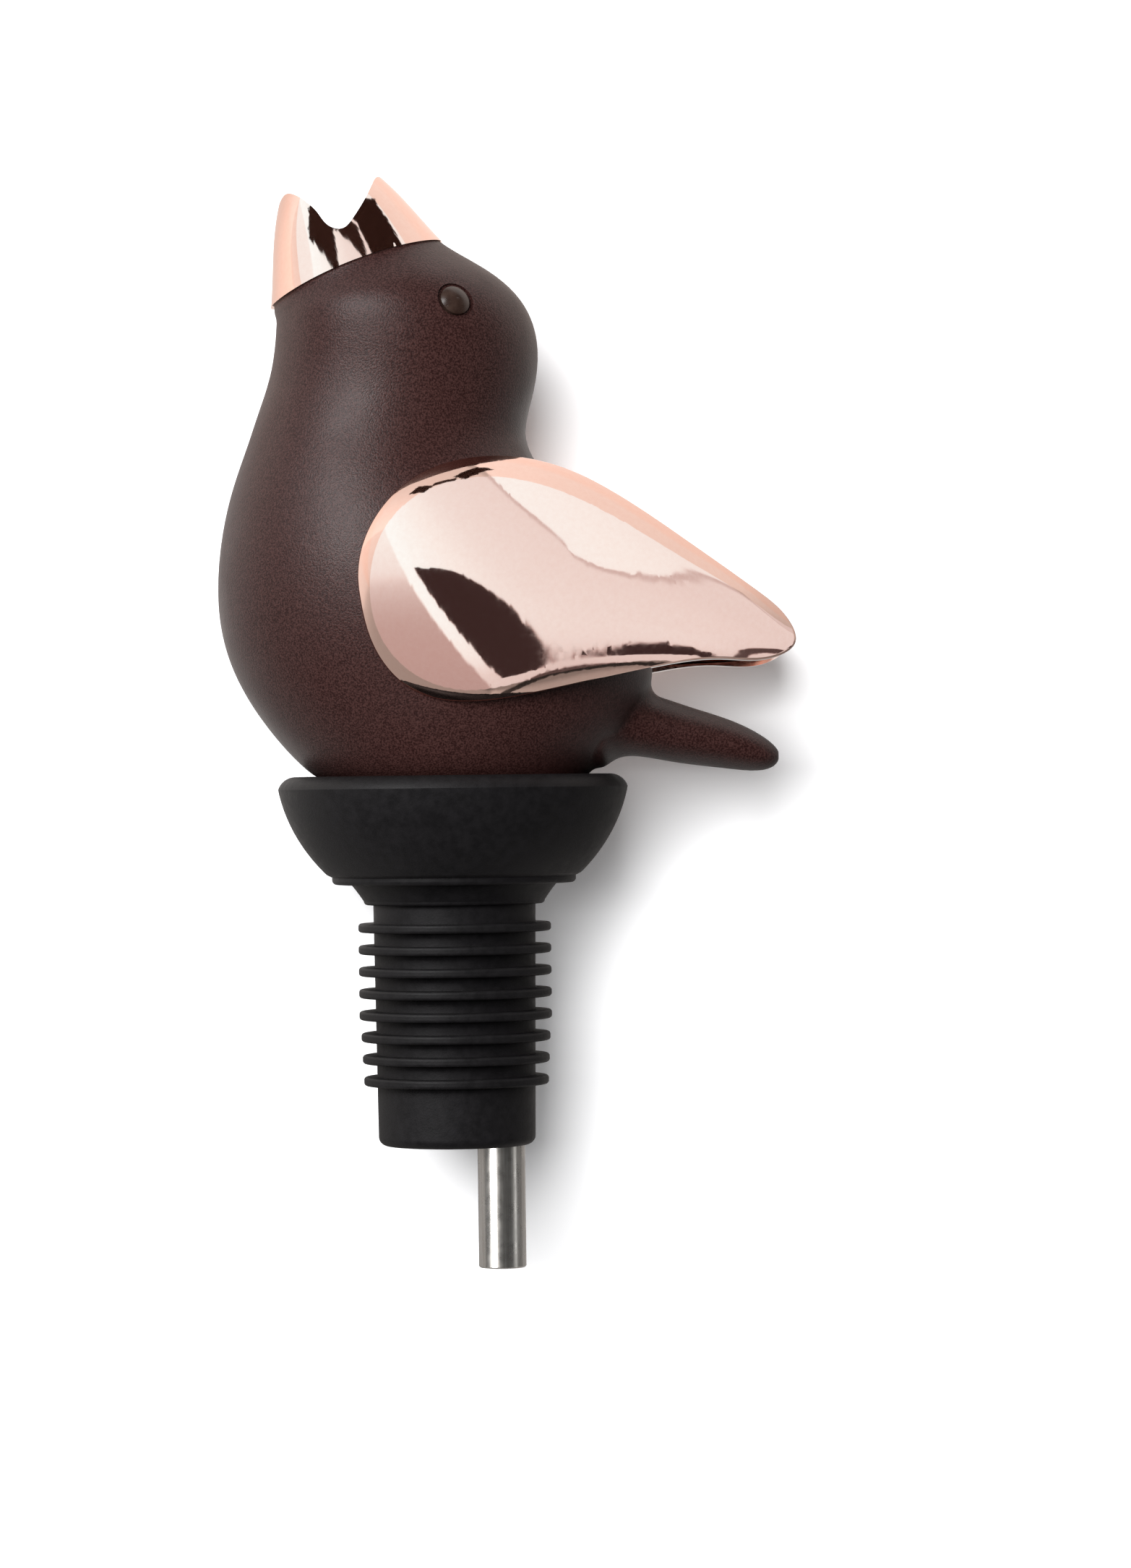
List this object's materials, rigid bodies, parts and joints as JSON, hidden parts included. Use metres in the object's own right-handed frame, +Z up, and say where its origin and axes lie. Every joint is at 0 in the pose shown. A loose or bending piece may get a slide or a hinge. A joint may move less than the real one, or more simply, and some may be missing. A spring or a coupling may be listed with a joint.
{
  "type": "liquor pour spout",
  "caption": "Bird-shaped bottle pour spout: hollow bird with an open beak and plated wings, lifting out of a finned silicone stopper, with a vent tube.",
  "frame": {"origin": "on the plug's axis, at the middle of its uppermost fin", "axes": "+Z up along the plug's axis towards the bird, +X from the breast to the tail, bird's left is -Y"},
  "size_m": [0.0637, 0.051, 0.1216],
  "materials": {
    "silicone": "matte black silicone",
    "soft_touch": "dark brown soft-touch coating with a fine grain",
    "rose_gold": "polished rose gold plating",
    "steel": "satin drawn steel tube",
    "inner_plastic": "plain moulded plastic",
    "seal_rubber": "plain rubber",
    "screw_steel": "plain zinc-plated screws"
  },
  "bodies": {
    "stopper": {"stopper": "silicone"},
    "bird": {"body_shell_left": "soft_touch", "body_shell_right": "soft_touch", "eye_left": "soft_touch", "eye_right": "soft_touch", "beak": "rose_gold", "wing_left": "rose_gold", "wing_right": "rose_gold", "vent_tube": "steel", "base_plate": "inner_plastic", "mouth_plate": "inner_plastic", "pour_duct": "inner_plastic", "whistle_body": "inner_plastic", "whistle_cap": "inner_plastic", "duct_lower_seal": "seal_rubber", "duct_upper_seal": "seal_rubber", "whistle_grommet": "seal_rubber", "wing_retainers_left": "screw_steel", "wing_retainers_right": "screw_steel", "base_screws": "screw_steel"}
  },
  "joints": [
    {"name": "bird_lift", "type": "slide", "parent": "stopper", "child": "bird", "axis": [0, 0, 1], "range_m": [0, 0.06]}
  ]
}
